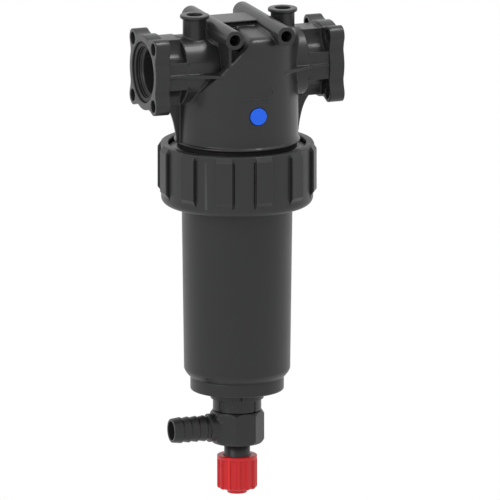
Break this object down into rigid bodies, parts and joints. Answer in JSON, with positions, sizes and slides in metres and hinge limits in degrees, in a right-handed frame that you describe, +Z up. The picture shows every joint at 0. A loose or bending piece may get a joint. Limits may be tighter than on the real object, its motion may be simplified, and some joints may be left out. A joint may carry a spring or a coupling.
{
  "type": "pressure filter",
  "caption": "In-line pressure filter with flanged ports, a screwed ring that holds a tapered bowl, a mesh cartridge and a drain valve with a hose tail and red knob.",
  "frame": {"origin": "the crossing of the pipe axis and the bowl axis, inside the head", "axes": "+X along the pipe from the inlet flange to the outlet flange, +Z up along the bowl axis, -Y the front with the colour disc"},
  "size_m": [0.1658, 0.1308, 0.4061],
  "materials": {
    "filter_head": "moulded black glass-filled plastic with a satin surface",
    "mesh_colour_disc": "plain blue plastic",
    "inlet_flange_seal": "black rubber",
    "outlet_flange_seal": "black rubber",
    "ring_nut": "moulded black plastic, slightly coarser than the head",
    "bowl": "moulded black plastic with a fine satin surface",
    "bowl_seal": "black rubber",
    "cartridge_cage": "plain blue plastic",
    "cartridge_mesh": "fine woven steel",
    "cartridge_top_gasket": "black rubber",
    "cartridge_bottom_gasket": "black rubber",
    "drain_locknut": "moulded black plastic",
    "drain_seal": "black rubber",
    "drain_valve_body": "moulded black plastic",
    "valve_bonnet": "moulded black plastic",
    "bonnet_seal": "black rubber",
    "valve_plunger": "turned brass",
    "plunger_seat_washer": "black rubber",
    "drain_knob": "moulded red plastic with a soft shine",
    "knob_screw": "plated steel"
  },
  "bodies": {
    "head": {"filter_head": "filter_head", "mesh_colour_disc": "mesh_colour_disc", "inlet_flange_seal": "inlet_flange_seal", "outlet_flange_seal": "outlet_flange_seal"},
    "bowl_unit": {"bowl": "bowl", "bowl_seal": "bowl_seal", "cartridge_cage": "cartridge_cage", "cartridge_mesh": "cartridge_mesh", "cartridge_top_gasket": "cartridge_top_gasket", "cartridge_bottom_gasket": "cartridge_bottom_gasket", "drain_locknut": "drain_locknut", "drain_seal": "drain_seal", "drain_valve_body": "drain_valve_body", "valve_bonnet": "valve_bonnet", "bonnet_seal": "bonnet_seal"},
    "ring": {"ring_nut": "ring_nut"},
    "plunger": {"valve_plunger": "valve_plunger", "plunger_seat_washer": "plunger_seat_washer", "knob_screw": "knob_screw"},
    "knob": {"drain_knob": "drain_knob"}
  },
  "joints": [
    {"name": "bowl_descent", "type": "slide", "parent": "head", "child": "bowl_unit", "axis": [0, 0, -1], "range_m": [0, 0.018]},
    {"name": "ring_nut_turn", "type": "hinge", "parent": "bowl_unit", "child": "ring", "pos_m": [0, 0, -0.0905], "axis": [0, 0, 1], "range_deg": [0, 1080]},
    {"name": "plunger_travel", "type": "slide", "parent": "bowl_unit", "child": "plunger", "axis": [0, 0, -1], "range_m": [0, 0.004]},
    {"name": "knob_turn", "type": "hinge", "parent": "plunger", "child": "knob", "pos_m": [0, 0, -0.343], "axis": [0, 0, 1], "range_deg": [0, 720]}
  ],
  "couplings": [
    {"joint": "ring_nut_turn", "follows": "bowl_descent", "rad_per_m": 1047.2},
    {"joint": "knob_turn", "follows": "plunger_travel", "rad_per_m": 3141.6}
  ]
}
